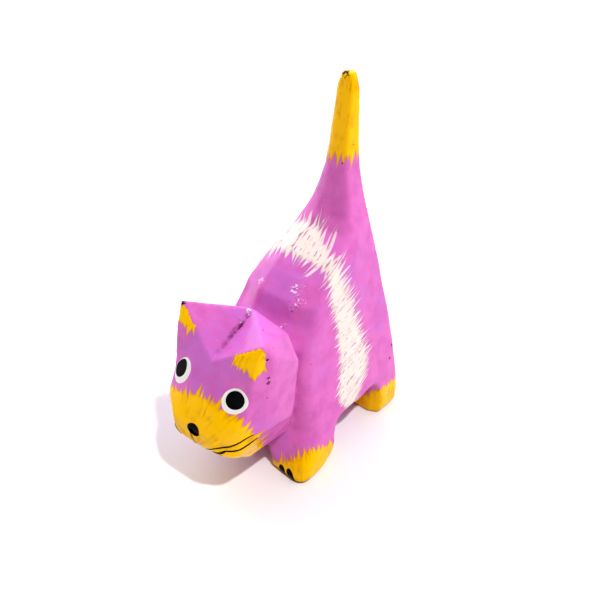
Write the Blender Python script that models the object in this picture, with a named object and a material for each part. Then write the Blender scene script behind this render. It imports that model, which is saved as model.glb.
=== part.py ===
# Carved wooden cat, whittled from one block.
# Metres, Z up.  The cat faces -Y and its left side is +X.
# The origin is on the floor under the middle of the box around the cat.
import math

import bmesh
import bpy
from mathutils import Vector

# The whole carving
HEIGHT = 0.1200               # floor to tail tip
LENGTH = 0.0800               # muzzle to rump
WIDTH = 0.0476                # over the front paws
TAIL_WIDTH = 0.0068           # squared tail, side to side

# Head
HEAD_WIDTH = 0.0344           # cheek to cheek
HEAD_BACK = 0.0094            # back of the head, ahead of the origin
MUZZLE_WIDTH = 0.0200         # flat front of the muzzle at nose height
NOSE_HEIGHT = 0.0317
CHIN_HEIGHT = 0.0150          # underside of the head above the floor
CHIN_CUT = 0.0069             # lower edge of the muzzle front, below the nose
EYE_HEIGHT = 0.0428
EYE_SPREAD = 0.0214           # between the middles of the two eyes
EYE_AHEAD = 0.0317            # eye facets ahead of the origin
BROW_AHEAD = 0.0340           # forehead at eye height, ahead of the origin
FOREHEAD_LEAN = 26.0          # degrees the face leans back
EYE_FACET_TURN = 26.0         # degrees each eye facet turns to its side
EAR_SPREAD = 0.0330           # ear tip to ear tip
EAR_TIP_HEIGHT = 0.0617       # ear tips above the floor
EAR_AHEAD = 0.0252            # ear tips ahead of the origin
RIGHT_EAR_RISE = 0.0012       # how much higher the right ear was left standing
NOTCH_FLOOR = 0.0517          # front end of the V between the ears, above the floor
NOTCH_AHEAD = 0.0283          # the same place, ahead of the origin
NOTCH_RISE = 20.0             # degrees the bottom of the V climbs toward the back

# Neck, between the back of the head and the chest
NECK_WIDTH = 0.0240
NECK_TOP = 0.0480             # floor of the groove behind the head
NECK_BOTTOM = 0.0175
NECK_OVERLAP = 0.0090         # how far it runs into the head and into the shoulders

# Legs, left standing by two arches cut through the block
BELLY_ARCH_LENGTH = 0.0240    # between front and hind legs
BELLY_ARCH_HEIGHT = 0.0165
BELLY_ARCH_MIDDLE = 0.0145    # behind the origin
LEG_GAP_WIDTH = 0.0176        # between left and right legs
LEG_GAP_HEIGHT = 0.0095
ARCH_FLARE = 0.0030           # how far each arch opens out at its ends
FLARE_DEPTH = 0.0060          # length of that opening-out
SOLE_EDGE = 0.0011            # how far the soles are rounded in at the floor

# Rounding of the upright corners and swelling of the flats
PAW_CORNER = 0.0052           # front corners of the paws, dying out above the legs
SHOULDER_CORNER = 0.0012
HEEL_CORNER = 0.0026          # back corners of the hind paws
KNIFE_EDGE = 0.0006           # every other corner
FLANK_SWELL = 0.0010          # how far the flanks stand out between shoulder and rump
FLANK_WAIST = 0.0009          # how far they draw in again between the paws
RUMP_SWELL = 0.0005
BACK_SWELL = 0.0002

# Stations up the body, as shares of the height, the length and half the width:
# height, front edge of the slice, half width of the flat front or back,
# half width at the shoulder edge, half width at the rump edge
BODY_SHARES = (
    (0.014, -0.184, 0.350, 1.000, 0.985),
    (0.050, -0.178, 0.350, 0.994, 0.988),
    (0.092, -0.158, 0.365, 0.958, 0.970),
    (0.138, -0.138, 0.379, 0.915, 0.935),
    (0.217, -0.138, 0.379, 0.845, 0.862),
    (0.300, -0.125, 0.379, 0.762, 0.772),
    (0.383, -0.088, 0.357, 0.682, 0.672),
    (0.433, -0.025, 0.336, 0.655, 0.611),
    (0.475, 0.006, 0.316, 0.613, 0.559),
    (0.517, 0.081, 0.328, 0.556, 0.500),
    (0.558, 0.171, 0.344, 0.495, 0.440),
    (0.600, 0.275, 0.312, 0.425, 0.378),
    (0.633, 0.310, 0.265, 0.352, 0.326),
    (0.667, 0.333, 0.219, 0.300, 0.275),
    (0.710, 0.350, 0.176, 0.232, 0.228),
)
# The tail goes on the same way, in shares of half its own width
TAIL_SHARES = (
    (0.755, 0.364, 1.000, 1.220, 1.310),
    (0.805, 0.375, 0.880, 1.060, 1.120),
    (0.900, 0.394, 0.765, 0.940, 1.030),
    (0.965, 0.411, 0.765, 0.880, 0.970),
    (1.000, 0.420, 0.350, 0.470, 0.470),
)
LEG_TOP_SHARE = 0.15          # share of the height where the toes stop pushing forward
PAW_TOP_SHARE = 0.12          # share of the height where the paws end
CORNER_TOP_SHARE = 0.34       # share of the height where the wide corners end
TAIL_ROOT_SHARE = 0.72        # share of the height where the tail begins
BACK_SHARE = 0.450            # back of the tail, as a share of the length
HEEL_SHARE = 0.0486           # how much further back the heels are, in the same share

BLOCK = 0.10                  # half size of the blocks that cutting tools start from
GROUND_PLAY = 0.004           # how far the arch tools reach under the floor


def clear_scene():
    for item in list(bpy.data.objects):
        bpy.data.objects.remove(item, do_unlink=True)


def wood_material(name, colour):
    material = bpy.data.materials.new(name)
    material.use_nodes = True
    shader = material.node_tree.nodes["Principled BSDF"]
    shader.inputs["Base Color"].default_value = (*colour, 1.0)
    shader.inputs["Roughness"].default_value = 0.35
    return material


def new_object(name, bm, collection):
    bmesh.ops.recalc_face_normals(bm, faces=bm.faces[:])
    mesh = bpy.data.meshes.new(name)
    bm.to_mesh(mesh)
    bm.free()
    item = bpy.data.objects.new(name, mesh)
    collection.objects.link(item)
    return item


def boolean(target, tool, operation, cutters):
    """Join or cut with a tool, which then moves to the cutters."""
    modifier = target.modifiers.new(tool.name, "BOOLEAN")
    modifier.operation = operation
    modifier.solver = "EXACT"
    modifier.object = tool
    tool.hide_render = True
    tool.display_type = "WIRE"
    for owner in list(tool.users_collection):
        owner.objects.unlink(tool)
    cutters.objects.link(tool)


def skin(rings):
    """Closed body through rings of the same count, split the same way on both sides."""
    bm = bmesh.new()
    rows = [[bm.verts.new(point) for point in ring] for ring in rings]
    count = len(rows[0])
    for low, high in zip(rows, rows[1:]):
        for i in range(count):
            j = (i + 1) % count
            if i < count // 2:
                bm.faces.new((low[i], low[j], high[j]))
                bm.faces.new((low[i], high[j], high[i]))
            else:
                bm.faces.new((low[i], low[j], high[i]))
                bm.faces.new((low[j], high[j], high[i]))
    bm.faces.new(rows[0])
    bm.faces.new(rows[-1])
    return bm


def direction(turn, tilt):
    """Unit vector turned from the front toward the left side, then tilted up, in degrees."""
    turn, tilt = math.radians(turn), math.radians(tilt)
    level = math.cos(tilt)
    return Vector((math.sin(turn) * level, -math.cos(turn) * level, math.sin(tilt)))


def flipped(vector):
    return Vector((-vector.x, vector.y, vector.z))


def block(low, high):
    bm = bmesh.new()
    bmesh.ops.create_cube(bm, size=1.0)
    for vert in bm.verts:
        vert.co = Vector([a + (b - a) * (c + 0.5) for a, b, c in zip(low, high, vert.co)])
    return bm


def knife(bm, point, normal):
    """One flat cut: everything beyond the plane is taken off."""
    cut = bmesh.ops.bisect_plane(bm, geom=bm.verts[:] + bm.edges[:] + bm.faces[:], dist=1e-7,
                                 plane_co=point, plane_no=normal, clear_outer=True)
    edges = [item for item in cut["geom_cut"] if isinstance(item, bmesh.types.BMEdge)]
    if edges:
        bmesh.ops.edgeloop_fill(bm, edges=edges)


def knife_pair(bm, point, normal):
    knife(bm, point, normal)
    knife(bm, flipped(point), flipped(normal))


def fade(height, top):
    """One at the floor, falling to nothing at the given share of the height."""
    return max(0.0, 1.0 - height / top)


def below(height, top, depth):
    """One well below the given share of the height, nothing above it."""
    return min(1.0, max(0.0, (top - height) / depth))


def body_ring(station, half_width, inset=0.0):
    """Slice of the body: flat front, shoulder corner, flank, rump corner, flat back."""
    height, front, back_half, shoulder_half, rump_half = station
    z = 0.0 if inset else height * HEIGHT
    x1, y1 = back_half * half_width, front * LENGTH + inset
    x2 = shoulder_half * half_width - inset
    slope = 0.30 - 0.475 * fade(height, LEG_TOP_SHARE)
    y2 = y1 + slope * (x2 - x1)
    x4 = rump_half * half_width - inset
    y4 = (BACK_SHARE + HEEL_SHARE * fade(height, TAIL_ROOT_SHARE) ** 1.6) * LENGTH - inset
    low = fade(height, PAW_TOP_SHARE)
    x3 = x2 + (x4 - x2) * 0.48 - FLANK_WAIST * low
    x3 += FLANK_SWELL * below(height, TAIL_ROOT_SHARE, 0.2) * (1.0 - low)
    y3 = y2 + (y4 - y2) * 0.48
    wide = fade(height, CORNER_TOP_SHARE)
    ease = PAW_CORNER * wide + SHOULDER_CORNER * below(height, 0.7, 0.1) + KNIFE_EDGE
    ease = min(ease, 0.18 * x2)
    heel = min(HEEL_CORNER * wide + KNIFE_EDGE, 0.16 * x4)
    side = [
        (x1, y1),
        (x2 - ease, y2 - slope * ease),
        (x2 - 0.48 * ease, y2 + (0.13 - 0.48 * slope) * ease),
        (x2 - 0.13 * ease, y2 + 0.48 * ease),
        (x2, y2 + ease),
        (x3, y3),
        (x4, y4 - heel),
        (x4 - 0.3 * heel, y4 - 0.3 * heel),
        (x4 - heel, y4),
    ]
    ring = [Vector((0.0, y1 - BACK_SWELL, z))]
    ring += [Vector((x, y, z)) for x, y in side]
    ring += [Vector((0.0, y4 + RUMP_SWELL, z))]
    ring += [Vector((-x, y, z)) for x, y in reversed(side)]
    return ring


def arch(axis, stops, middle, height, power, steps):
    """Half-oval tunnel along X or Y.  Each stop is a place along it and half the opening."""
    rings = []
    for place, half in stops:
        outline = [(middle + half, -GROUND_PLAY), (middle - half, -GROUND_PLAY)]
        for step in range(steps + 1):
            angle = math.pi * (1.0 - step / steps)
            c, s = math.cos(angle), math.sin(angle)
            across = middle + math.copysign(abs(c) ** power, c) * half
            outline.append((across, s ** power * height))
        if axis == "X":
            rings.append([Vector((place, a, z)) for a, z in outline])
        else:
            rings.append([Vector((a, place, z)) for a, z in outline])
    return skin(rings)


def flared_stops(low, high, half):
    """Tunnel stops that open out toward both ends."""
    return [(low, half + ARCH_FLARE), (low + FLARE_DEPTH, half),
            (high - FLARE_DEPTH, half), (high, half + ARCH_FLARE)]


def make_body(collection, cutters):
    """Body, legs and tail in one sweep up the stations, with both arches cut out."""
    half = WIDTH / 2
    rings = [body_ring(BODY_SHARES[0], half, SOLE_EDGE)]
    rings += [body_ring(station, half) for station in BODY_SHARES]
    rings += [body_ring(station, TAIL_WIDTH / 2) for station in TAIL_SHARES]
    body = new_object("cat_figurine", skin(rings), collection)
    stops = flared_stops(-1.08 * half, 1.08 * half, BELLY_ARCH_LENGTH / 2)
    across = arch("X", stops, BELLY_ARCH_MIDDLE, BELLY_ARCH_HEIGHT, 0.40, 16)
    stops = flared_stops(-0.22 * LENGTH, 0.52 * LENGTH, LEG_GAP_WIDTH / 2)
    along = arch("Y", stops, 0.0, LEG_GAP_HEIGHT, 0.85, 14)
    boolean(body, new_object("belly_arch", across, cutters), "DIFFERENCE", cutters)
    boolean(body, new_object("leg_gap", along, cutters), "DIFFERENCE", cutters)
    return body


def make_head(collection, cutters):
    """Block whittled with flat cuts; the ears are left standing by a V-shaped notch."""
    share = HEIGHT / 120      # small offsets below are in 120ths of the height
    cheek = HEAD_WIDTH / 2
    muzzle = MUZZLE_WIDTH / 2
    face = -LENGTH / 2
    jaw_y = -0.275 * LENGTH
    ear = Vector((EAR_SPREAD / 2, -EAR_AHEAD, EAR_TIP_HEIGHT))
    right_ear = flipped(ear) + Vector((0.0, 0.0, RIGHT_EAR_RISE))
    brow = Vector((0.0, -BROW_AHEAD, EYE_HEIGHT))
    eye = Vector((EYE_SPREAD / 2, -EYE_AHEAD, EYE_HEIGHT))
    bm = block((-BLOCK, face, CHIN_HEIGHT), (BLOCK, -HEAD_BACK, BLOCK))
    # forehead, then the muzzle's corners and the chin
    knife(bm, brow, direction(0, FOREHEAD_LEAN))
    knife_pair(bm, Vector((muzzle, face + 1.6 * share, NOSE_HEIGHT)), direction(48, 0))
    knife_pair(bm, Vector((muzzle, face, NOSE_HEIGHT)), direction(14, 4))
    chin = NOSE_HEIGHT - CHIN_CUT
    knife(bm, Vector((0.0, face + 0.8 * share, chin)), direction(0, -42))
    knife_pair(bm, Vector((1.05 * muzzle, face + 4.0 * share, chin - 2.6 * share)),
               direction(42, -44))
    # cheeks, sides and jaw
    knife_pair(bm, Vector((cheek, jaw_y - 3.0 * share, 40 * share)), direction(68, 2))
    knife_pair(bm, Vector((cheek, jaw_y + 5.0 * share, 40 * share)), direction(93, 0))
    knife_pair(bm, Vector((cheek - 0.2 * share, jaw_y, 29 * share)), direction(84, -22))
    knife_pair(bm, Vector((0.70 * cheek, jaw_y, CHIN_HEIGHT + share)), direction(84, -58))
    # back of the head, then the backs of the ears, of which the right one is pared thinner
    knife_pair(bm, Vector((cheek - 0.6 * share, -HEAD_BACK - 1.2 * share, 40 * share)),
               direction(132, -6))
    for tip, turned, back in ((ear, Vector, direction(158, 64)),
                              (right_ear, flipped, direction(146, 40))):
        knife(bm, tip, turned(direction(114, 24)))
        knife(bm, tip, turned(back))
    head = new_object("head", bm, collection)
    # hollow between each ear's front and the eye under it
    eye_normal = direction(EYE_FACET_TURN, FOREHEAD_LEAN + 1.5)
    ear_normal = direction(12, 16)
    for word, turned, tip in (("left", Vector, ear), ("right", flipped, right_ear)):
        wedge = block((-BLOCK, -BLOCK, -BLOCK), (BLOCK, BLOCK, BLOCK))
        knife(wedge, turned(eye), -turned(eye_normal))
        knife(wedge, tip, -turned(ear_normal))
        boolean(head, new_object("eye_cut_" + word, wedge, cutters), "DIFFERENCE", cutters)
    # notch between the ears
    valley = Vector((0.0, -NOTCH_AHEAD, NOTCH_FLOOR))
    climb = direction(180, NOTCH_RISE)
    notch = block((-BLOCK, -BLOCK, -BLOCK), (BLOCK, BLOCK, BLOCK))
    for tip in (ear, right_ear):
        slope = (tip - valley).cross(climb).normalized()
        knife(notch, valley, slope if slope.z < 0 else -slope)
    boolean(head, new_object("ear_notch", notch, cutters), "DIFFERENCE", cutters)
    return head


def make_neck(collection):
    """Solid wood joining head and chest; only the floor of the groove behind the head shows."""
    half = NECK_WIDTH / 2
    bm = block((-half, -HEAD_BACK - NECK_OVERLAP, NECK_BOTTOM),
               (half, -HEAD_BACK + NECK_OVERLAP, NECK_TOP))
    knife_pair(bm, Vector((half, 0.0, NECK_TOP - half * 0.4)), direction(90, 40))
    knife_pair(bm, Vector((half, 0.0, NECK_BOTTOM + half * 0.25)), direction(90, -45))
    return new_object("neck", bm, collection)


def main():
    clear_scene()
    parts = bpy.data.collections.new("cat_figurine")
    cutters = bpy.data.collections.new("cutters")
    bpy.context.scene.collection.children.link(parts)
    bpy.context.scene.collection.children.link(cutters)
    cat = make_body(parts, cutters)
    boolean(cat, make_head(parts, cutters), "UNION", cutters)
    boolean(cat, make_neck(parts), "UNION", cutters)
    cat.data.materials.append(wood_material("painted_wood", (0.60, 0.17, 0.62)))


main()
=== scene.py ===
import math

import bmesh
import bpy
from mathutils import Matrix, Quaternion, Vector, noise
from mathutils.bvhtree import BVHTree


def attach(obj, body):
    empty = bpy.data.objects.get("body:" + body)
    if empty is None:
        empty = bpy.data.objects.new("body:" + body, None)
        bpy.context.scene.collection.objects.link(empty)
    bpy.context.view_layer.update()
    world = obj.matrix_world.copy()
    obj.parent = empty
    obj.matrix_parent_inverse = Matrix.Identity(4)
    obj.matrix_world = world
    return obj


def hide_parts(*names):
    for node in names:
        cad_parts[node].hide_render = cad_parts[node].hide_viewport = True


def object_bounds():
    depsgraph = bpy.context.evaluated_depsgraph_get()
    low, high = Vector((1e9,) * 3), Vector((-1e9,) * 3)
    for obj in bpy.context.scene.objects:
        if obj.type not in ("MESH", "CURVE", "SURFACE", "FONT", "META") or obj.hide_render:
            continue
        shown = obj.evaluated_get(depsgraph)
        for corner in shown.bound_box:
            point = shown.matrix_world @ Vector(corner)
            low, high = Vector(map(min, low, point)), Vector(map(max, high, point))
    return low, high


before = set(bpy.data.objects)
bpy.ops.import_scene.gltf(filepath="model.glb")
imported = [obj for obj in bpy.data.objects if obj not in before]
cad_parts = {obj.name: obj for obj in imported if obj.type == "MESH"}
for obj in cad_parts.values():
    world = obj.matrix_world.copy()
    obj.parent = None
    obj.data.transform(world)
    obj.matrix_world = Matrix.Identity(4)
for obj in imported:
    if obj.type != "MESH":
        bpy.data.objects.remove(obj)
cad_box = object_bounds()

# The carved cat
# One block of light wood, cut to facets with a knife, sealed and painted. The paint is thick enough
# to round every edge a little, and the knife leaves each facet slightly hollow or swollen.

# Lengths in metres; a softening is a number of rounds.
VOXEL = 0.00052
SAME_POINT = 1e-6
SOFTENING_SHARE = 0.5
EDGE_SOFTENING = 2
BODY_SOFTENING = 4
FACE_SOFTENING = 26
BODY_REACH = {"front": -0.012, "low": 0.014, "high": 0.062}
FACE_REACH = {"rear": -0.022, "low": 0.016, "high": 0.047}
PAINT_THICKNESS = 0.00032
KNIFE_WAVE = 0.00020
KNIFE_WAVE_SIZE = 0.009
TOOL_MARK = 0.00008
TOOL_MARK_SIZE = 0.0030
TOOL_MARK_SHIFT = Vector((7, 3, 5))
CREASE_DEPTH = 0.00025
CREASE_WIDTH = 0.0009
CREASE_ENDS = (-0.0275, -0.0125)
CREASE_ABOVE = 0.05
CREASE_FACING = 0.4
# Where the face and the paws were rubbed round: middle, how far the rubbing reaches and where it
# moves the wood.
RUBBED = (
    {"at": (0.0130, -0.0345, 0.0360), "reach": 0.0080, "move": (0.0008, -0.0004, 0.0)},
    {"at": (0.0110, -0.0290, 0.0480), "reach": 0.0060, "move": (0.0, 0.0006, -0.0004)},
    {"at": (0.0080, -0.0400, 0.0210), "reach": 0.0070, "move": (0.0, 0.0004, 0.0004)},
    {"at": (0.0102, -0.0388, 0.0268), "reach": 0.0060, "move": (-0.0009, 0.0005, 0.0004)},
    {"at": (0.0235, 0.0010, 0.0010), "reach": 0.0075, "move": (-0.0008, -0.0006, 0.0)},
)


def solid_copy(node, name):
    """A closed mesh of small, even faces over the CAD node's loose triangles."""
    bm = bmesh.new()
    bm.from_mesh(node.data)
    bmesh.ops.remove_doubles(bm, verts=bm.verts, dist=SAME_POINT)
    rough = bpy.data.meshes.new(name + "_rough")
    bm.to_mesh(rough)
    bm.free()
    piece = bpy.data.objects.new(name, rough)
    bpy.context.scene.collection.objects.link(piece)
    remesh = piece.modifiers.new("even_faces", "REMESH")
    remesh.mode = "VOXEL"
    remesh.voxel_size = VOXEL
    graph = bpy.context.evaluated_depsgraph_get()
    fine = bpy.data.meshes.new_from_object(piece.evaluated_get(graph))
    piece.modifiers.clear()
    piece.data = fine
    bpy.data.meshes.remove(rough)
    return piece


def soften(bm, verts, rounds):
    """Draws each vertex towards its neighbours, once for each round."""
    axes = {"use_axis_x": True, "use_axis_y": True, "use_axis_z": True}
    for _ in range(rounds):
        bmesh.ops.smooth_vert(bm, verts=verts, factor=SOFTENING_SHARE, **axes)


def on_body(place):
    """True between the paws and the tail's root, behind the head."""
    return place.y > BODY_REACH["front"] and BODY_REACH["low"] < place.z < BODY_REACH["high"]


def on_face(place):
    """True on the muzzle and round the eyes, below the ears and ahead of the cheeks."""
    return place.y < FACE_REACH["rear"] and FACE_REACH["low"] < place.z < FACE_REACH["high"]


def eased(share):
    """The share from 0 to 1, made to start and end softly."""
    return share * share * (3 - 2 * share)


def rub(bm):
    """The rubbed places of both sides, each fading out towards its edge."""
    for place in RUBBED:
        for side in (1, -1):
            mirror = Vector((side, 1, 1))
            middle = Vector(place["at"]) * mirror
            move = Vector(place["move"]) * mirror
            for vert in bm.verts:
                share = 1 - (vert.co - middle).length / place["reach"]
                if share > 0:
                    vert.co += move * eased(share)


def crease(vert):
    """How deep the knife ran in along the bottom of the V between the ears."""
    front, rear = CREASE_ENDS
    between_ears = front < vert.co.y < rear and vert.co.z > CREASE_ABOVE
    if between_ears and vert.normal.z > CREASE_FACING:
        return CREASE_DEPTH * max(0.0, 1 - abs(vert.co.x) / CREASE_WIDTH)
    return 0.0


def carve(bm):
    """The paint's thickness, the knife's hollows and its small marks, along each vertex's normal."""
    bm.normal_update()
    for vert in bm.verts:
        wave = noise.noise(vert.co / KNIFE_WAVE_SIZE) * KNIFE_WAVE
        mark = noise.noise(vert.co / TOOL_MARK_SIZE + TOOL_MARK_SHIFT) * TOOL_MARK
        vert.co += vert.normal * (PAINT_THICKNESS + wave + mark - crease(vert))


def keep_inside(bm, box):
    """No point passes the block that the cat was cut from."""
    for vert in bm.verts:
        for axis in range(3):
            vert.co[axis] = min(max(vert.co[axis], box[0][axis]), box[1][axis])


cat = solid_copy(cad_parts["cat_figurine"], "carved_cat")
shape = bmesh.new()
shape.from_mesh(cat.data)
soften(shape, shape.verts[:], EDGE_SOFTENING)
soften(shape, [vert for vert in shape.verts if on_body(vert.co)], BODY_SOFTENING)
soften(shape, [vert for vert in shape.verts if on_face(vert.co)], FACE_SOFTENING)
rub(shape)
carve(shape)
keep_inside(shape, cad_box)
shape.normal_update()

# Where the colours meet
# The painter pulls a small flat brush out of each coloured patch into the pink, so every border is
# a row of tapered strokes. Each point of the cat gets two lengths in millimetres: how far it lies
# past the border, along the strokes, and its place across them.

# Millimetres in a metre.
MM = 1000

# Lengths in millimetres. A number called strokes shortens the strokes there by so many times.
TAIL_FROM = 70
TAIL_BORDER = 95.8
TAIL_LEAN = 0.15
TAIL_STROKES = 1 / 1.4
HEAD_REACH = {"rear": -19, "low": 14}
MUZZLE_CUT = Vector((0, 0.843, 0.537))
MUZZLE_CUT_PLACE = -8.5
MUZZLE_AXIS = Vector((0, -29.3, 28.9))
MUZZLE_GIRTH = 14.0
MUZZLE_DROOP = 2.2
MUZZLE_RIGHT_DROOP = {"from": 2.0, "over": 3.0, "depth": 1.4}
EARS = {
    "left": {"border": 54.4, "inner_edge": 8.4, "drip": (15.2, 1.5, 2.6)},
    "right": {"border": 57.4, "inner_edge": 9.3, "drip": (-11.0, 1.3, 2.2)},
}
EAR_OUTER_EDGE = -25.2
EAR_TOP_FACING = 0.60
EAR_STROKES = {"top": 12, "outer": 2.5, "inner": 1.5, "all": 2.0}
EAR_SPREAD = 1.4
EAR_LEAN = 0.2
PAWS = (
    {"from": 8, "height": 10.3, "corner": (22.6, 28.0), "fall_in": 0.80, "fall_back": 0.22},
    {"from": -99, "height": 10.0, "corner": (21.5, -10.5), "fall_in": 0.58, "fall_back": 0.42},
)


def tail_tip(place):
    """The top of the tail, with strokes longer than the other borders have."""
    past = TAIL_BORDER - place.z
    across = place.x + place.y - TAIL_LEAN * place.z
    return past * (TAIL_STROKES if past > 0 else 1), across


def muzzle(place):
    """Everything ahead of a slanting cut through the head, its strokes spread round the cut."""
    from_axis = place - MUZZLE_AXIS
    sunk = from_axis - MUZZLE_CUT * MUZZLE_CUT.dot(from_axis)
    up = sunk.z * MUZZLE_CUT.y - sunk.y * MUZZLE_CUT.z
    angle = math.atan2(place.x, up)
    right = MUZZLE_RIGHT_DROOP
    past = MUZZLE_CUT.dot(place) - MUZZLE_CUT_PLACE + MUZZLE_DROOP * abs(angle) / math.pi
    past += right["depth"] * min(1.0, max(0.0, (-place.x - right["from"]) / right["over"]))
    return past, MUZZLE_GIRTH * angle


def ear_front(place, facing):
    """The ear's front facet and a little of its outer side, down to the border and its one drip."""
    ear = EARS["left" if place.x > 0 else "right"]
    middle, width, length = ear["drip"]
    border = ear["border"] - length * max(0.0, 1 - abs(place.x - middle) / width)
    past = max(
        border - place.z,
        (facing.z - EAR_TOP_FACING) * EAR_STROKES["top"],
        (place.y - EAR_OUTER_EDGE) * EAR_STROKES["outer"],
        (ear["inner_edge"] - abs(place.x)) * EAR_STROKES["inner"],
    )
    lean = math.copysign(EAR_LEAN, place.x)
    return past * (EAR_STROKES["all"] if past > 0 else 1), place.x * EAR_SPREAD - place.z * lean


def paw(place):
    """A paw up to its ankle, highest at the outer corner of the leg."""
    plan = next(plan for plan in PAWS if place.y > plan["from"])
    side, ahead = plan["corner"]
    top = plan["height"] + plan["fall_in"] * (abs(place.x) - side)
    top -= plan["fall_back"] * abs(place.y - ahead)
    return place.z - top, abs(place.x) + place.y


def yellow_border(place, facing):
    """The nearest yellow border: the tail tip's, the muzzle's, an ear's or a paw's."""
    if place.z > TAIL_FROM:
        return tail_tip(place)
    if place.y < HEAD_REACH["rear"] and place.z > HEAD_REACH["low"]:
        return min(muzzle(place), ear_front(place, facing))
    return paw(place)


# The stripe's edges down the flank: height, front edge, rear edge, and its strokes' rise towards
# the tail.
STRIPE_EDGES = (
    (90, 13.5, 15.0, 1.20),
    (74, 13.5, 15.0, 0.75),
    (66, 12.4, 14.0, 0.55),
    (62, 10.8, 14.2, 0.42),
    (57, 9.8, 15.2, 0.30),
    (52, 10.4, 16.4, 0.24),
    (45, 10.4, 18.0, 0.22),
    (38, 9.8, 19.4, 0.22),
    (31, 8.4, 20.4, 0.30),
    (26, 6.8, 19.2, 0.40),
    (22, 6.2, 16.2, 0.50),
    (19.5, 7.0, 13.6, 0.60),
    (17.5, 8.8, 11.4, 0.70),
    (15, 10.4, 10.0, 0.75),
    (0, 10.8, 9.8, 0.75),
)
STRIPE_MIDDLE = {"along": 14.0, "height": 66}
STRIPE_STROKES = {"front": 1.9, "low": 1.15}
LOW_FLANK = 50
# Over the back the stripe's rear edge lies further back, and that fades out to the left.
BACK_WIDENING = 5.5
BACK_WIDTH = 9.0
# Past this length down the flank the strokes lie closer together, by this share.
FINE_FROM = 20.0
FINER = 0.5


def stripe_row(height):
    """The stripe's edges and rise at a height, straight between the rows above and below it."""
    for above, below in zip(STRIPE_EDGES, STRIPE_EDGES[1:]):
        if below[0] <= height:
            share = min(1.0, (height - below[0]) / (above[0] - below[0]))
            return [low + (high - low) * share for high, low in zip(above[1:], below[1:])]
    return STRIPE_EDGES[-1][1:]


def stripe_border(place, facing):
    """The stripe's nearer edge, and the length down either flank from the middle of the back."""
    front, rear, rise = stripe_row(place.z)
    rear += BACK_WIDENING * min(1.0, max(0.0, 1 - place.x / BACK_WIDTH))
    stretch = math.hypot(1, rise) * (STRIPE_STROKES["low"] if place.z < LOW_FLANK else 1)
    past = max((front - place.y) * STRIPE_STROKES["front"], place.y - rear) * stretch
    across = abs(place.x) + rise * (place.y - STRIPE_MIDDLE["along"])
    across += STRIPE_MIDDLE["height"] - place.z
    across += FINER * max(0.0, across - FINE_FROM)
    return past, math.copysign(1, place.x) * across


def store(bm, name, rule):
    """Keeps a rule's two lengths as the attributes name_past and name_across."""
    past_layer = bm.verts.layers.float.new(name + "_past")
    across_layer = bm.verts.layers.float.new(name + "_across")
    for vert in bm.verts:
        vert[past_layer], vert[across_layer] = rule(vert.co * MM, vert.normal)


store(shape, "yellow", yellow_border)
store(shape, "stripe", stripe_border)

# The pared right edge
# Along the back and tail the right edge was cut away aslant in one long shaving, so that side shows
# a pale facet beside the flat top. The colours keep the places that they had on the square edge.

# Lengths in metres. The flat top's height along the cat, then the facet's upper edge as heights
# and distances from the middle.
BACK_TOP = ((-0.0120, 0.0480), (-0.0010, 0.0542), (0.0060, 0.0612), (0.0280, 0.0840), (0.0340, 0.1200))
PARED_EDGE = ((0.050, 0.0078), (0.060, 0.0074), (0.070, 0.0056), (0.082, 0.0026), (0.096, 0.0018))
PARED_FALL = Vector((-0.50, 0.62, -0.61))
PARED_WIDTH = 0.0055
PARED_DEPTH = 0.014
PARED_SOFTENING = 2


def between_rows(rows, place):
    """The second value at a place among rows of pairs, straight between the rows."""
    for low, high in zip(rows, rows[1:]):
        if place < high[0]:
            share = min(1.0, max(0.0, (place - low[0]) / (high[0] - low[0])))
            return low[1] + (high[1] - low[1]) * share
    return rows[-1][1]


def behind_head(place):
    """True from the shoulders back."""
    return place.y > BACK_TOP[0][0]


def pare_right_edge(bm):
    """Lets the right edge of the back fall away, most at the edge and not at all low on the flank."""
    for vert in bm.verts:
        beyond = -vert.co.x - between_rows(PARED_EDGE, vert.co.z)
        below = between_rows(BACK_TOP, vert.co.y) - vert.co.z
        if beyond > 0 and behind_head(vert.co) and below < PARED_DEPTH:
            fade = 1 - max(0.0, below / PARED_DEPTH)
            vert.co += PARED_FALL * min(beyond, PARED_WIDTH) * eased(fade)


pare_right_edge(shape)
right_side = [vert for vert in shape.verts if vert.co.x < 0 and behind_head(vert.co)]
soften(shape, right_side, PARED_SOFTENING)
keep_inside(shape, cad_box)
shape.normal_update()
shape.to_mesh(cat.data)
surface = BVHTree.FromBMesh(shape)
shape.free()
cat.data.polygons.foreach_set("use_smooth", [True] * len(cat.data.polygons))

# Enamel paint on the cat
# Oil enamel brushed on thickly in one coat over another: orchid pink first, then yellow and white.
# It dries to a hard gloss and keeps the brush's furrows, with a ridge where a stroke ends.

ORCHID = "#DC76BE"
ORCHID_LILAC = "#CC74C4"
ORCHID_DEEP = "#CE69B1"
CHROME_YELLOW = "#FFC600"
YELLOW_THIN = "#DE9E00"
STRIPE_WHITE = "#EFE2D6"
STRIPE_THIN = "#E6B0CE"
CREASE_SHADE = "#6A2058"
BARE_WOOD_AND_CONTACT_SHADE = "#8A5A34"
DARK_CHIP = "#3A1D12"
SPECK = "#7A3A1C"
PAINTED_GLINT = "#FBE9FB"
ENAMEL_IOR = 1.42


def paint(hex_colour):
    """An sRGB hex colour as the linear values that the shader takes."""
    values = [int(hex_colour[i : i + 2], 16) / 255 for i in (1, 3, 5)]
    linear = [v / 12.92 if v <= 0.04045 else ((v + 0.055) / 1.055) ** 2.4 for v in values]
    return (*linear, 1)


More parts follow.
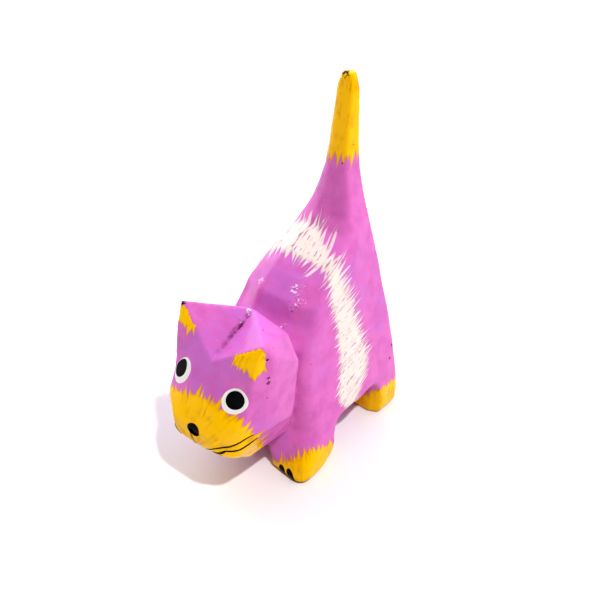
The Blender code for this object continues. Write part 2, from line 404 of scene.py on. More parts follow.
def add(tree, kind, settings=None, inputs=None):
    """A node with its settings, its input values and the links into it from other nodes."""
    made = tree.nodes.new("ShaderNode" + kind)
    for name, value in (settings or {}).items():
        setattr(made, name, value)
    for name, value in (inputs or {}).items():
        if isinstance(value, bpy.types.Node):
            value = next(socket for socket in value.outputs if socket.enabled)
        if isinstance(value, bpy.types.NodeSocket):
            tree.links.new(value, made.inputs[name])
        else:
            made.inputs[name].default_value = value
    return made


def over(low, high):
    """The two ends of a range that a change runs over, as a Map Range node names them."""
    return {"From Min": low, "From Max": high}


def onto(low, high):
    """The two ends of the range that comes out of a Map Range node."""
    return {"To Min": low, "To Max": high}


# Rows of strokes, widths and lengths in millimetres.
YELLOW_ROWS = (
    {"width": 2.2, "short": 1.2, "long": 5.0, "seed": 3.0},
    {"width": 1.3, "short": 0.4, "long": 3.4, "seed": 40.4},
)
STRIPE_ROWS = (
    {"width": 2.1, "short": 4.5, "long": 9.5, "seed": 0.0},
    {"width": 1.5, "short": 1.5, "long": 5.5, "seed": 60.4},
)
STROKE_POINT = 0.85
STROKE_LEAN = 0.18
STROKE_ROOT = -1.0
STROKE_UNEVENNESS = 1.6
# The part of a noise's values that is used for its full effect.
NOISE_MIDDLE = (0.3, 0.7)
# The lengths in millimetres over which the strokes' lean and width change, and a furrow's width.
LEAN_LENGTH = 3.333
UNEVEN_LENGTH = 4.545
FURROW_WIDTH = 0.909
FURROW_STRETCH = 0.16
BRISTLES = 0.05
# The furrows' depth, from 0 to 1, past which the brush left no paint, and how soon paint covers.
YELLOW_GAP = 0.90
STRIPE_GAP = 0.63
GAP_EDGE = 0.06


def stroke_row(tree, past, across, row):
    """How deep a point lies inside a row of pointed strokes, 0 at a stroke's outline."""
    counted = {0: across, 1: 1 / row["width"], 2: row["seed"]}
    cells = add(tree, "Math", {"operation": "MULTIPLY_ADD"}, counted)
    cell = add(tree, "Math", {"operation": "FLOOR"}, {0: cells})
    chance = add(tree, "TexWhiteNoise", {"noise_dimensions": "1D"}, {"W": cell}).outputs["Value"]
    length = add(tree, "MapRange", {}, {"Value": chance, **onto(row["short"], row["long"])})
    share = add(tree, "Math", {"operation": "FRACT"}, {0: cells})
    offset = add(tree, "Math", {"operation": "MULTIPLY_ADD"}, {0: share, 1: 2.0, 2: -1.0})
    side = add(tree, "Math", {"operation": "ABSOLUTE"}, {0: offset})
    pointed = add(tree, "Math", {"operation": "POWER"}, {0: side, 1: STROKE_POINT})
    spent = add(tree, "Math", {"operation": "DIVIDE"}, {0: past, 1: length})
    used = add(tree, "Math", {"operation": "ADD"}, {0: pointed, 1: spent})
    return add(tree, "Math", {"operation": "SUBTRACT"}, {0: 1.0, 1: used})


def leaning(tree, past, across):
    """The place across the strokes, so changed that they lean a little and differ in width."""
    line = {"noise_dimensions": "1D"}
    drift = add(tree, "TexNoise", line, {"W": across, "Scale": 1 / LEAN_LENGTH, "Detail": 1.0})
    lean_range = {**over(*NOISE_MIDDLE), **onto(-STROKE_LEAN, STROKE_LEAN)}
    lean = add(tree, "MapRange", {}, {"Value": drift, **lean_range})
    beyond = add(tree, "Math", {"operation": "MAXIMUM"}, {0: past, 1: STROKE_ROOT})
    across = add(tree, "Math", {"operation": "MULTIPLY_ADD"}, {0: lean, 1: beyond, 2: across})
    uneven = add(tree, "TexNoise", line, {"W": across, "Scale": 1 / UNEVEN_LENGTH, "Detail": 0.0})
    return add(
        tree, "Math", {"operation": "MULTIPLY_ADD"}, {0: uneven, 1: STROKE_UNEVENNESS, 2: across}
    )


def brushed_patch(tree, name, rows, gap):
    """How deep a point lies inside a patch whose border is pulled out into strokes, and its furrows."""
    past = add(tree, "Attribute", {"attribute_name": name + "_past"}).outputs["Fac"]
    across = add(tree, "Attribute", {"attribute_name": name + "_across"}).outputs["Fac"]
    across = leaning(tree, past, across)
    along = add(tree, "Math", {"operation": "MULTIPLY"}, {0: past, 1: FURROW_STRETCH})
    lane = add(tree, "CombineXYZ", {}, {"X": across, "Y": along})
    furrow = add(
        tree,
        "TexNoise",
        {"noise_dimensions": "2D"},
        {"Vector": lane, "Scale": 1 / FURROW_WIDTH, "Detail": 3.0},
    )
    deepest = stroke_row(tree, past, across, rows[0])
    for row in rows[1:]:
        inside = stroke_row(tree, past, across, row)
        deepest = add(tree, "Math", {"operation": "MAXIMUM"}, {0: deepest, 1: inside})
    bristle = add(tree, "MapRange", {}, {"Value": furrow, **onto(-BRISTLES, BRISTLES)})
    deepest = add(tree, "Math", {"operation": "ADD"}, {0: deepest, 1: bristle})
    bare = add(tree, "MapRange", {"clamp": False}, {"Value": furrow, **over(gap + GAP_EDGE, gap)})
    deepest = add(tree, "Math", {"operation": "MINIMUM"}, {0: deepest, 1: bare})
    return deepest, furrow


# The size in millimetres of the pink's drift to lilac, how fast the lilac fades with each
# millimetre from the middle, and the heights in metres between which it dies out below the tail.
LILAC_DRIFT = 13.333
LILAC_FALL = 0.018
LILAC_TOP = (0.064, 0.074)
LILAC_COMES = (0.16, 0.42)
BRUSH_IN_PINK = 0.15
PINK_COVERS = (0.30, 0.56)


def pink_coat(tree, place, brush, clouds):
    """Orchid pink, deeper where the coat is thin and lilac towards the middle of the cat."""
    depth = add(tree, "Mix", {"data_type": "FLOAT"}, {0: BRUSH_IN_PINK, 2: clouds, 3: brush})
    depth = add(tree, "MapRange", {}, {"Value": depth, **over(*PINK_COVERS)})
    wide = add(tree, "TexNoise", {}, {"Vector": place, "Scale": MM / LILAC_DRIFT, "Detail": 2.0})
    parts = add(tree, "SeparateXYZ", {}, {0: place})
    aside = add(tree, "Math", {"operation": "ABSOLUTE"}, {0: parts.outputs["X"]})
    inner = add(
        tree, "Math", {"operation": "MULTIPLY_ADD"}, {0: aside, 1: -LILAC_FALL * MM, 2: wide}
    )
    lilac = add(tree, "MapRange", {}, {"Value": inner, **over(*LILAC_COMES)})
    low, high = LILAC_TOP
    below = add(tree, "MapRange", {}, {"Value": parts.outputs["Z"], **over(high, low)})
    lilac = add(tree, "Math", {"operation": "MULTIPLY"}, {0: lilac, 1: below})
    top = add(tree, "Mix", {"data_type": "RGBA"}, {0: lilac, 6: paint(ORCHID), 7: paint(ORCHID_LILAC)})
    return add(tree, "Mix", {"data_type": "RGBA"}, {0: depth, 6: paint(ORCHID_DEEP), 7: top})


# Where each coat covers: by its clouds or furrows, and by the depth inside its strokes.
FURROWS_IN_YELLOW = 0.45
YELLOW_COVERS = (0.30, 0.48)
YELLOW_BODY = (0.0, 0.5)
WHITE_COVERS = (0.76, 0.58)
WHITE_BODY = (0.0, 0.35)


def yellow_coat(tree, clouds, deep, furrow):
    """Chrome yellow, browner where it is brushed out thin."""
    body = add(tree, "MapRange", {}, {"Value": deep, **over(*YELLOW_BODY)})
    cloudy = add(tree, "Mix", {"data_type": "FLOAT"}, {0: FURROWS_IN_YELLOW, 2: clouds, 3: furrow})
    cover = add(tree, "MapRange", {}, {"Value": cloudy, **over(*YELLOW_COVERS)})
    cover = add(tree, "Math", {"operation": "MULTIPLY"}, {0: cover, 1: body})
    return add(
        tree, "Mix", {"data_type": "RGBA"}, {0: cover, 6: paint(YELLOW_THIN), 7: paint(CHROME_YELLOW)}
    )


def white_coat(tree, deep, furrow):
    """White that covers where it lies in ridges, with the pink showing between them."""
    body = add(tree, "MapRange", {}, {"Value": deep, **over(*WHITE_BODY)})
    cover = add(tree, "MapRange", {}, {"Value": furrow, **over(*WHITE_COVERS)})
    cover = add(tree, "Math", {"operation": "MULTIPLY"}, {0: cover, 1: body})
    return add(
        tree, "Mix", {"data_type": "RGBA"}, {0: cover, 6: paint(STRIPE_THIN), 7: paint(STRIPE_WHITE)}
    )


# Where the paint is knocked off or marked: middle and radius, in millimetres.
WORN = (
    ((-16.5, -24.9, 62.2), 1.5),
    ((-0.6, 33.8, 120.0), 1.5),
    ((2.9, 36.3, 119.2), 0.9),
    ((3.2, 37.6, 117.4), 0.7),
    ((17.0, -24.5, 50.4), 0.60),
    ((17.2, -24.3, 48.5), 0.65),
    ((17.3, -23.7, 50.6), 0.55),
    ((16.9, -24.2, 57.3), 0.60),
    ((9.3, -17.0, 59.3), 0.35),
    ((20.8, 36.4, 24.8), 0.80),
    ((21.6, 34.4, 20.6), 0.60),
    ((17.4, -20.9, 30.3), 0.30),
    ((2.1, 31.1, 104.8), 0.35),
    ((2.1, 30.8, 102.6), 0.35),
    ((2.7, 29.4, 92.9), 0.40),
)
# Lumps of thick paint that catch the light, with painted glints on them: middle and radius, in
# millimetres.
LUMPS = (
    ((4.7, 4.5, 60.4), 2.6),
    ((7.6, 2.0, 58.2), 2.2),
    ((6.9, 0.3, 56.8), 1.9),
    ((-9.2, 2.0, 57.9), 1.8),
    ((-3.7, -9.5, 56.9), 1.4),
    ((-0.7, -11.6, 58.1), 1.4),
    ((-0.8, -15.6, 56.7), 1.3),
    ((-2.1, -24.9, 54.2), 0.9),
    ((6.0, -3.5, 50.2), 1.1),
)
# A noise times the first number, plus the second, makes the outlines of spots ragged.
RAGGED = {1: 3.0, 2: -1.6}
# Less than the nearness of any spot.
FAR_AWAY = -1000.0
# Over how much nearness a chip and a lumpy place come in, and the noise's values that give specks
# and painted glints.
CHIP_EDGE = (0.0, 0.25)
LUMPY_EDGE = (0.0, 0.5)
SPECK_EDGE = (0.72, 0.78)
GLINT_EDGE = (0.56, 0.62)
# Sizes of the grit, the specks, the lumps' outlines and the painted glints on them, in millimetres.
GRIT_SIZE = 0.6667
SPECK_SPACING = 1.613
LUMP_OUTLINE = 2.0833
GLINT_SPACING = 0.8696
LUMP_SIZE = 1.1
LUMP_STEEPNESS = -2.6
# The soles rest on the floor up to these heights, in metres, and are rubbed bare there; this dark band
# along the floor is also painted contact shade.
SOLE = (0.0008, 0.0002)


def near_any(tree, place, spots, ragged):
    """Above 0 within any of the spots, whose outline a noise makes ragged."""
    nearest = FAR_AWAY
    for middle, radius in spots:
        centre = [c / MM for c in middle]
        away = add(tree, "VectorMath", {"operation": "DISTANCE"}, {0: place, 1: centre}).outputs["Value"]
        inside = add(tree, "Math", {"operation": "MULTIPLY_ADD"}, {0: away, 1: -MM / radius, 2: 1.0})
        inside = add(tree, "Math", {"operation": "ADD"}, {0: inside, 1: ragged})
        nearest = add(tree, "Math", {"operation": "MAXIMUM"}, {0: nearest, 1: inside})
    return nearest


# The spacing in millimetres of the waves in the edges of the painted shade in the crease. Then, in
# metres, the waves' height, how far aside the shade reaches, and where it fades out along the cat and
# down.
CREASE_WAVES = 1.923
CREASE_WAVE_HEIGHT = -0.0030
CREASE_ASIDE = (-0.0006, -0.0015)
CREASE_LIMITS = (("Y", -0.0290, -0.0170), ("Y", -0.0115, -0.0145), ("Z", 0.050, 0.051))


def crease_shade(tree, place, parts):
    """Up to 1 along the bottom of the V between the ears, where the crease is darkened as painted shade.
    """
    aside = add(tree, "Math", {"operation": "ABSOLUTE"}, {0: parts.outputs["X"]})
    ragged = add(tree, "TexNoise", {}, {"Vector": place, "Scale": MM / CREASE_WAVES, "Detail": 2.0})
    aside = add(
        tree, "Math", {"operation": "MULTIPLY_ADD"}, {0: ragged, 1: CREASE_WAVE_HEIGHT, 2: aside}
    )
    near = add(tree, "MapRange", {}, {"Value": aside, **over(*CREASE_ASIDE)})
    for name, outside, inside in CREASE_LIMITS:
        part = parts.outputs[name]
        within = add(tree, "MapRange", {}, {"Value": part, **over(outside, inside)})
        near = add(tree, "Math", {"operation": "MULTIPLY"}, {0: near, 1: within})
    return near


def wear_and_shade(tree, place, colour):
    """Painted shade in the V between the ears, chips down to the dark wood, specks of dirt, and soles
    rubbed bare, darkened also as painted contact shade.
    """
    parts = add(tree, "SeparateXYZ", {}, {0: place})
    # Painted shade: the bottom of the V between the ears is darkened.
    crease_shaded = crease_shade(tree, place, parts)
    colour = add(tree, "Mix", {"data_type": "RGBA"}, {0: crease_shaded, 6: colour, 7: paint(CREASE_SHADE)})
    grit = add(tree, "TexNoise", {}, {"Vector": place, "Scale": MM / GRIT_SIZE, "Detail": 2.0})
    ragged = add(tree, "Math", {"operation": "MULTIPLY_ADD"}, {0: grit, **RAGGED})
    chipped = near_any(tree, place, WORN, ragged)
    chip = add(tree, "MapRange", {}, {"Value": chipped, **over(*CHIP_EDGE)})
    colour = add(tree, "Mix", {"data_type": "RGBA"}, {0: chip, 6: colour, 7: paint(DARK_CHIP)})
    specks = add(tree, "TexNoise", {}, {"Vector": place, "Scale": MM / SPECK_SPACING, "Detail": 3.0})
    speck = add(tree, "MapRange", {}, {"Value": specks, **over(*SPECK_EDGE)})
    colour = add(tree, "Mix", {"data_type": "RGBA"}, {0: speck, 6: colour, 7: paint(SPECK)})
    # Bare wood at the soles, and painted contact shade: a dark band just above the floor.
    bare_and_shaded = add(tree, "MapRange", {}, {"Value": parts.outputs["Z"], **over(*SOLE)})
    return add(tree, "Mix", {"data_type": "RGBA"}, {0: bare_and_shaded, 6: colour, 7: paint(BARE_WOOD_AND_CONTACT_SHADE)})


def lumpy_places(tree, place):
    """1 where the paint dried in lumps, with ragged edges."""
    ragged = add(tree, "TexNoise", {}, {"Vector": place, "Scale": MM / LUMP_OUTLINE, "Detail": 1.0})
    ragged = add(tree, "Math", {"operation": "MULTIPLY_ADD"}, {0: ragged, **RAGGED})
    lumpy = near_any(tree, place, LUMPS, ragged)
    return add(tree, "MapRange", {}, {"Value": lumpy, **over(*LUMPY_EDGE)})


def with_painted_glints(tree, place, lumpy, colour):
    """Painted glints: pale flecks on the tops of the lumps that stand in for the lamp's highlights."""
    fine = add(tree, "TexNoise", {}, {"Vector": place, "Scale": MM / GLINT_SPACING, "Detail": 2.0})
    glint_spots = add(tree, "MapRange", {}, {"Value": fine, **over(*GLINT_EDGE)})
    glint_share = add(tree, "Math", {"operation": "MULTIPLY"}, {0: glint_spots, 1: lumpy})
    return add(tree, "Mix", {"data_type": "RGBA"}, {0: glint_share, 6: colour, 7: paint(PAINTED_GLINT)})


def lumps_of_paint(tree, place, lumpy):
    """Round lumps packed in the lumpy places, 1 at their tops."""
    cells = add(tree, "TexVoronoi", {}, {"Vector": place, "Scale": MM / LUMP_SIZE}).outputs["Distance"]
    dome = add(tree, "Math", {"operation": "MULTIPLY"}, {0: cells, 1: cells})
    dome = add(tree, "Math", {"operation": "MULTIPLY_ADD"}, {0: dome, 1: LUMP_STEEPNESS, 2: 1.0})
    dome = add(tree, "Math", {"operation": "MAXIMUM"}, {0: dome, 1: 0.0})
    return add(tree, "Math", {"operation": "MULTIPLY"}, {0: dome, 1: lumpy})


# How many millimetres each kind of relief rises.
RISES = {
    "white_edge": 0.10,
    "yellow_edge": 0.08,
    "white_grooves": 0.20,
    "yellow_grooves": 0.07,
    "brush": 0.012,
    "clouds": 0.13,
    "lumps": 0.22,
}
# The coat's thick and thin clouds and the brush's marks, in millimetres. The marks of single
# bristles would be too fine to show, so they are drawn coarser, and longer upwards than across.
CLOUD_SIZE = 5.263
BRUSH_MARK = 0.625
UPWARD_STRETCH = (1.0, 1.0, 0.16)
# The depths in a stroke between which its paint thins out, on either side of its outline, and
# those between which it rises to its full thickness.
OUTLINE = (-0.04, 0.04)
WHITE_RIM = (0.0, 0.6)
YELLOW_RIM = (0.0, 0.5)
COAT_ROUGHNESS = (0.08, 0.14)
COAT_SHINE = 0.14


def relief(tree, heights):
    """The sum of several heights, each times how many millimetres it rises, as one bump."""
    total = 0.0
    for name, height in heights.items():
        total = add(
            tree, "Math", {"operation": "MULTIPLY_ADD"}, {0: height, 1: RISES[name], 2: total}
        )
    return add(tree, "Bump", {}, {"Height": total, "Strength": 1.0, "Distance": 1 / MM})


def empty_material(name):
    """A material whose tree has no nodes yet."""
    material = bpy.data.materials.new(name)
    material.use_nodes = True
    material.node_tree.nodes.clear()
    return material


# Hard gloss enamel gives full, even colour, broken by the furrows; its small bright highlights are painted
# glints.
def enamel_coats():
    """Pink, yellow and white gloss enamel over wood: furrowed strokes, ridged where they end."""
    material = empty_material("brushed_enamel_on_wood")
    tree = material.node_tree
    place = add(tree, "TexCoord").outputs["Object"]
    clouds = add(tree, "TexNoise", {}, {"Vector": place, "Scale": MM / CLOUD_SIZE, "Detail": 3.0})
    upright = add(tree, "Mapping", {}, {"Vector": place, "Scale": UPWARD_STRETCH})
    brush = add(tree, "TexNoise", {}, {"Vector": upright, "Scale": MM / BRUSH_MARK, "Detail": 2.0})
    yellow, yellow_furrow = brushed_patch(tree, "yellow", YELLOW_ROWS, YELLOW_GAP)
    white, white_furrow = brushed_patch(tree, "stripe", STRIPE_ROWS, STRIPE_GAP)
    on_yellow = add(tree, "MapRange", {}, {"Value": yellow, **over(*OUTLINE)})
    on_white = add(tree, "MapRange", {}, {"Value": white, **over(*OUTLINE)})
    colour = pink_coat(tree, place, brush, clouds)
    golden = yellow_coat(tree, clouds, yellow, yellow_furrow)
    snowy = white_coat(tree, white, white_furrow)
    colour = add(tree, "Mix", {"data_type": "RGBA"}, {0: on_yellow, 6: colour, 7: golden})
    colour = add(tree, "Mix", {"data_type": "RGBA"}, {0: on_white, 6: colour, 7: snowy})
    lumpy = lumpy_places(tree, place)
    # Painted highlights: pale glints laid into the colour on the lumps.
    colour = with_painted_glints(tree, place, lumpy, colour)
    colour = wear_and_shade(tree, place, colour)
    white_edge = add(tree, "MapRange", {}, {"Value": white, **over(*WHITE_RIM)})
    yellow_edge = add(tree, "MapRange", {}, {"Value": yellow, **over(*YELLOW_RIM)})
    heights = {
        "white_edge": white_edge,
        "yellow_edge": yellow_edge,
        "white_grooves": add(tree, "Math", {"operation": "MULTIPLY"}, {0: white_furrow, 1: white_edge}),
        "yellow_grooves": add(tree, "Math", {"operation": "MULTIPLY"}, {0: yellow_furrow, 1: yellow_edge}),
        "brush": brush,
        "clouds": clouds,
        "lumps": lumps_of_paint(tree, place, lumpy),
    }
    gloss_range = {**over(*NOISE_MIDDLE), **onto(*COAT_ROUGHNESS)}
    gloss = add(tree, "MapRange", {}, {"Value": clouds, **gloss_range})
    enamel = {
        "Base Color": colour,
        "Roughness": gloss,
        "IOR": ENAMEL_IOR,
        "Specular IOR Level": COAT_SHINE,
        "Normal": relief(tree, heights),
    }
    add(tree, "OutputMaterial", {}, {"Surface": add(tree, "BsdfPrincipled", {}, enamel)})
    return material


cat.data.materials.clear()
cat.data.materials.append(enamel_coats())
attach(cat, "root")
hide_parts("cat_figurine")

# Eyes and nose
# Each eye is a drop of white enamel with a drop of black on it, set down with the end of a round
# stick, so they stand a little proud with rounded rims. The nose is one black drop.

ENAMEL_WHITE = "#FAF6F0"
ENAMEL_BLACK = "#0B0A0B"
WHITE_ROUGHNESS = 0.28
BLACK_ROUGHNESS = 0.55
DROP_SHINE = 0.1
# A drop's colour where it lies thickest, as a share of its full one.
DROP_DEEPNESS = 0.82
# Lengths in millimetres and turns in degrees.
EYES = (
    {
        "facing": (0.30, -0.87, 0.37),
        "turn": -50,
        "white": (10.9, -31.8, 43.0),
        "white_size": (3.8, 4.5),
        "pupil": (11.0, -31.7, 43.4),
        "pupil_size": (2.8, 3.2),
    },
    {
        "facing": (-0.30, -0.87, 0.37),
        "turn": -22,
        "white": (-9.8, -32.2, 43.7),
        "white_size": (3.3, 5.25),
        "pupil": (-10.6, -32.0, 44.1),
        "pupil_size": (2.2, 3.8),
    },
)
NOSE = {"middle": (0.3, -39.8, 30.6), "facing": (0.0, -0.97, 0.25), "size": (2.5, 2.2)}
DROP_THICKNESS = 0.16
PUPIL_LIFT = 0.128
NOSE_THICKNESS = 0.096
DROP_UNEVENNESS = {"size": 1.4286, "height": 0.12}
# How far off the wood a drop's points start on their way to it, and the least height of paint.
DROP_START = 4.0
LOWEST_PAINT = 0.25


def drop(bm, middle, facing, size, thickness, lift=0.0, turn=0.0, narrowing=0.0):
    """A flat drop of paint that follows the surface under it: a squashed ball laid on the wood."""
    normal = Vector(facing).normalized()
    level = Vector((0, 0, 1)).cross(normal).normalized()
    side = Quaternion(normal, math.radians(turn)) @ level
    up = normal.cross(side)
    ball = bmesh.ops.create_uvsphere(bm, u_segments=48, v_segments=24, radius=1)
    for vert in ball["verts"]:
        width = size[0] * (1 - narrowing * vert.co.y)
        above = Vector(middle) + side * vert.co.x * width + up * vert.co.y * size[1]
        above.z = max(above.z, LOWEST_PAINT)
        start = (above + normal * DROP_START) / MM
        hit = surface.ray_cast(start, -normal)[0]
        vert.co = hit + normal * (vert.co.z * thickness + lift) / MM


def drops_of_paint(name, material):
    """An empty piece for drops or lines of paint, with its material and its place in the model."""
    piece = bpy.data.objects.new(name, bpy.data.meshes.new(name))
    bpy.context.scene.collection.objects.link(piece)
    piece.data.materials.append(material)
    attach(piece, "root")
    return piece


def fill(piece, bm):
    """Gives the piece its finished shape, smooth all over."""
    keep_inside(bm, cad_box)
    bmesh.ops.recalc_face_normals(bm, faces=bm.faces)
    for face in bm.faces:
        face.smooth = True
    bm.to_mesh(piece.data)
    bm.free()


# The same enamel set down in drops gives a softer sheen on one flat colour, with no furrows.
def plain_enamel(name, hex_colour, roughness):
    """One coat of gloss enamel, with the slight unevenness of a drop that dried on its own."""
    material = empty_material(name)
    tree = material.node_tree
    place = add(tree, "TexCoord").outputs["Object"]
    scale = MM / DROP_UNEVENNESS["size"]
    uneven = add(tree, "TexNoise", {}, {"Vector": place, "Scale": scale, "Detail": 2.0})
    height = DROP_UNEVENNESS["height"] / MM
    bump = add(tree, "Bump", {}, {"Height": uneven, "Strength": 1.0, "Distance": height})
    deep = [channel * DROP_DEEPNESS for channel in paint(hex_colour)[:3]]
    enamel = {
        "Base Color": add(
            tree, "Mix", {"data_type": "RGBA"}, {0: uneven, 6: (*deep, 1), 7: paint(hex_colour)}
        ),
        "Roughness": roughness,
        "IOR": ENAMEL_IOR,
        "Specular IOR Level": DROP_SHINE,
        "Normal": bump,
    }
    add(tree, "OutputMaterial", {}, {"Surface": add(tree, "BsdfPrincipled", {}, enamel)})
    return material


white_enamel = plain_enamel("white_gloss_enamel", ENAMEL_WHITE, WHITE_ROUGHNESS)
black_enamel = plain_enamel("black_gloss_enamel", ENAMEL_BLACK, BLACK_ROUGHNESS)

eye_whites = drops_of_paint("eye_whites", white_enamel)
pupils_and_nose = drops_of_paint("pupils_and_nose", black_enamel)
whites = bmesh.new()
blacks = bmesh.new()
for eye in EYES:
    both = {"facing": eye["facing"], "thickness": DROP_THICKNESS, "turn": eye["turn"]}
    drop(whites, eye["white"], size=eye["white_size"], **both)
    drop(blacks, eye["pupil"], size=eye["pupil_size"], lift=PUPIL_LIFT, **both)
drop(blacks, **NOSE, thickness=NOSE_THICKNESS)
fill(eye_whites, whites)
fill(pupils_and_nose, blacks)

# Mouth and whisker lines
# Thin black lines drawn with a fine pointed brush: one down from the nose, and on each side three
# that run from the chin towards the cheek, thicker where the brush was pressed.

# Lengths in millimetres.
LINE_WIDTH = 0.54
LINE_TIP = 0.35
LINE_STEP = 0.7
FACE_LINES = (
    {
        "points": ((-1.3, -40, 29.4), (-0.7, -40, 27.8), (0.0, -40, 26.4), (0.9, -39.8, 24.8)),
        "sides": (1,),
    },
    {
        "points": (
            (5.2, -40, 25.4), (8.3, -40, 26.9), (10.1, -38.3, 27.4), (11.7, -36.5, 27.8),
            (13.2, -34.8, 29.0), (14.4, -32.8, 30.2), (15.1, -31.2, 30.6), (15.7, -29.7, 30.6),
        ),
        "sides": (1, -1),
    },
    {
        "points": (
            (9.0, -39.4, 24.8), (10.8, -37.5, 26.0), (12.2, -35.9, 25.9), (13.5, -34.5, 26.3),
            (14.7, -32.3, 27.2), (15.4, -29.9, 28.0), (15.6, -28.4, 28.6),
        ),
        "sides": (1, -1),
    },
    {"points": ((7.2, -40, 24.2), (9.2, -39.3, 24.0), (10.9, -37.5, 25.6)), "sides": (1, -1)},
)


def on_surface(points, side):
    """Points a short step apart along a route, mirrored where the side is -1, laid on the wood."""
    route = [Vector(point) * Vector((side, 1, 1)) for point in points]
    laid = []
    for start, end in zip(route, route[1:]):
        steps = max(1, round((end - start).length / LINE_STEP))
        laid += [surface.find_nearest(start.lerp(end, step / steps) / MM)[0] for step in range(steps)]
    laid.append(surface.find_nearest(route[-1] / MM)[0])
    return laid


def thin_line(points, side):
    """A fine line of paint along the surface, tapered at both ends, as a mesh."""
    curve = bpy.data.curves.new("face_line", "CURVE")
    curve.dimensions = "3D"
    curve.bevel_depth = LINE_WIDTH / 2 / MM
    curve.bevel_resolution = 2
    curve.use_fill_caps = True
    laid = on_surface(points, side)
    spline = curve.splines.new("NURBS")
    spline.points.add(len(laid) - 1)
    spline.order_u = 4
    spline.use_endpoint_u = True
    spline.resolution_u = 3
    for number, (spot, knot) in enumerate(zip(laid, spline.points)):
        along = number / (len(laid) - 1)
        knot.co = (*spot, 1)
        knot.radius = LINE_TIP + (1 - LINE_TIP) * math.sin(math.pi * along) ** 0.5
    holder = bpy.data.objects.new("face_line", curve)
    bpy.context.scene.collection.objects.link(holder)
    graph = bpy.context.evaluated_depsgraph_get()
    mesh = bpy.data.meshes.new_from_object(holder.evaluated_get(graph))
    bpy.data.objects.remove(holder)
    return mesh


face_lines = drops_of_paint("face_lines", black_enamel)
lines = bmesh.new()
for line in FACE_LINES:
    for side in line["sides"]:
        lines.from_mesh(thin_line(line["points"], side))
fill(face_lines, lines)

# Claws
# Two black dabs low on the front of each front paw, pressed with a small round brush that leaves
# a drop with a tail.

# Lengths in millimetres and turns in degrees.
CLAWS = (
    {"middle": (14.9, -15.3, 1.5), "size": (1.10, 2.20), "turn": 40},
    {"middle": (18.6, -15.8, 1.9), "size": (1.20, 2.50), "turn": 48},
)
PAW_FACING = Vector((0.1, -1.0, 0.0))
CLAW_THICKNESS = 0.10
CLAW_WIDENING = 0.35


def claw(bm, plan, side):
    """One dab, mirrored where the side is -1, its round end up and its tail out to the side."""
    mirror = Vector((side, 1, 1))
    drop(
        bm,
        Vector(plan["middle"]) * mirror,
        PAW_FACING * mirror,
        plan["size"],
        CLAW_THICKNESS,
        turn=plan["turn"] * side,
        narrowing=-CLAW_WIDENING,
    )


claws = drops_of_paint("claws", black_enamel)
dabs = bmesh.new()
for plan in CLAWS:
    for side in (1, -1):
        claw(dabs, plan, side)
fill(claws, dabs)

# Floor
# A sheet of matt white card under the cat, as for a product photograph, so broad that its edge
# lies beyond the picture from every side.

FLOOR_SIZE = 40.0
CARD_WHITE = "#EFEEEE"
CARD_ROUGHNESS = 0.9
CARD_SHINE = 0.1


# Matt card takes the cat's soft shadow and shows no highlight.
def floor_card():
    """The sheet of card, level with the soles."""
    mesh = bpy.data.meshes.new("floor_card")
    bm = bmesh.new()
    bmesh.ops.create_grid(bm, x_segments=1, y_segments=1, size=FLOOR_SIZE / 2)
    bm.to_mesh(mesh)
    bm.free()
    floor = bpy.data.objects.new("floor_card", mesh)
    bpy.context.scene.collection.objects.link(floor)
    material = bpy.data.materials.new("matt_white_card")
    material.use_nodes = True
    shader = material.node_tree.nodes["Principled BSDF"]
    shader.inputs["Base Color"].default_value = paint(CARD_WHITE)
    shader.inputs["Roughness"].default_value = CARD_ROUGHNESS
    shader.inputs["Specular IOR Level"].default_value = CARD_SHINE
    mesh.materials.append(material)
    return floor


floor_card()

# Light and camera
# A white room all round that is dim ahead of the cat, with a window on its right, and one lamp high
# on its left. The camera stands ahead of the cat on its left and looks down on it.

KEY_FROM = Vector((0.4635, -0.12, 1.0))
KEY_STRENGTH = 1.72
KEY_ANGLE = 3.0
ROOM_STRENGTH = 1.27
ROOM_SIDES = "#DCD8DE"
ROOM_TOP = "#F2F5FF"
ROOM_DIM = "#301E20"
BACKDROP_WHITE = "#FFFFFF"
BACKDROP_STRENGTH = 1.0
# Each part of the room: its direction from the cat in degrees, and the cosines of the angles from
# that direction at which it starts and is full.
DIM_PART = {"azimuth": 14.0, "elevation": 16.0, "reach": (-0.10, 0.68)}
WINDOW = {"azimuth": -105.0, "elevation": 32.0, "reach": (0.55, 0.97)}
WINDOW_STRENGTH = 2.8
CAMERA_AZIMUTH = 39.0
CAMERA_ELEVATION = 37.5
CAMERA_PLACE = (0.14628, -0.16886, 0.2275)
CAMERA_LENS = 54.0
CAMERA_SENSOR = 36.0


def towards(azimuth, elevation):
    """The direction from the cat to a viewer at these angles, in degrees."""
    turn = math.radians(azimuth)
    rise = math.radians(elevation)
    level = math.cos(rise)
    return Vector((math.sin(turn) * level, -math.cos(turn) * level, math.sin(rise)))


def in_part(tree, around, part, strengths):
    """The first strength outside a part of the room and the second inside it, softly between."""
    middle = towards(part["azimuth"], part["elevation"])
    nearness = add(tree, "VectorMath", {"operation": "DOT_PRODUCT"}, {0: around, 1: middle})
    return add(
        tree,
        "MapRange",
        {"interpolation_type": "SMOOTHSTEP"},
        {"Value": nearness.outputs["Value"], **over(*part["reach"]), **onto(*strengths)},
    )


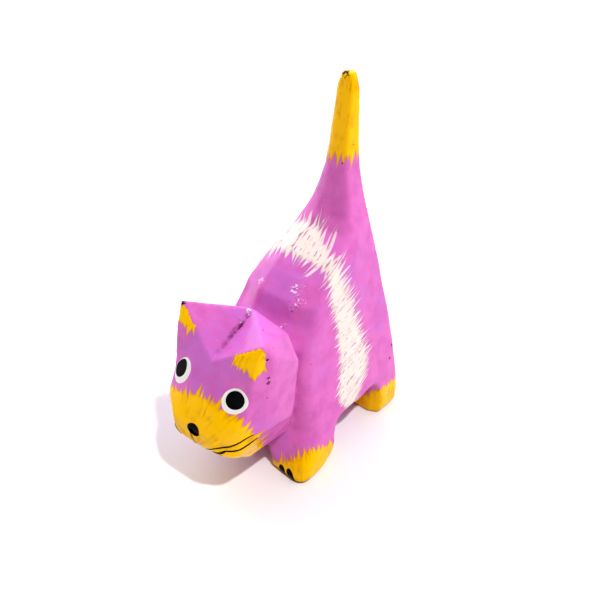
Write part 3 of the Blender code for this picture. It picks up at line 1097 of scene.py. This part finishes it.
def room_light():
    """The room's light on the cat; the camera sees a plain white backdrop in its place."""
    world = bpy.data.worlds.new("white_room")
    bpy.context.scene.world = world
    world.use_nodes = True
    tree = world.node_tree
    tree.nodes.clear()
    around = add(tree, "TexCoord").outputs["Generated"]
    height = add(tree, "SeparateXYZ", {}, {0: around}).outputs["Z"]
    bright = add(tree, "Mix", {"data_type": "RGBA"}, {0: height, 6: paint(ROOM_SIDES), 7: paint(ROOM_TOP)})
    dimness = in_part(tree, around, DIM_PART, (0.0, 1.0))
    colour = add(tree, "Mix", {"data_type": "RGBA"}, {0: dimness, 6: bright, 7: paint(ROOM_DIM)})
    strength = in_part(tree, around, WINDOW, (ROOM_STRENGTH, WINDOW_STRENGTH))
    lighting = add(tree, "Background", {}, {"Color": colour, "Strength": strength})
    white = {"Color": paint(BACKDROP_WHITE), "Strength": BACKDROP_STRENGTH}
    backdrop = add(tree, "Background", {}, white)
    seen = add(tree, "LightPath").outputs["Is Camera Ray"]
    shown = add(tree, "MixShader", {}, {0: seen, 1: lighting, 2: backdrop})
    add(tree, "OutputWorld", {}, {"Surface": shown})


def key_lamp():
    """The lamp that throws the cat's shadow to its right."""
    light = bpy.data.lights.new("key_lamp", "SUN")
    light.energy = KEY_STRENGTH
    light.angle = math.radians(KEY_ANGLE)
    lamp = bpy.data.objects.new("key_lamp", light)
    lamp.rotation_mode = "QUATERNION"
    lamp.rotation_quaternion = KEY_FROM.to_track_quat("Z", "Y")
    # The lamp gives no highlights; the glints on the lumps are painted into the colour.
    lamp.visible_glossy = False
    bpy.context.scene.collection.objects.link(lamp)


def photo_camera():
    """The camera, placed as the photograph's was."""
    data = bpy.data.cameras.new("photo_camera")
    data.lens = CAMERA_LENS
    data.sensor_width = CAMERA_SENSOR
    camera = bpy.data.objects.new("photo_camera", data)
    camera.location = CAMERA_PLACE
    camera.rotation_mode = "QUATERNION"
    camera.rotation_quaternion = (-towards(CAMERA_AZIMUTH, CAMERA_ELEVATION)).to_track_quat("-Z", "Y")
    bpy.context.scene.collection.objects.link(camera)
    bpy.context.scene.camera = camera


room_light()
key_lamp()
photo_camera()
bpy.context.scene.view_settings.view_transform = "Standard"
bpy.context.scene.view_settings.look = "Medium High Contrast"
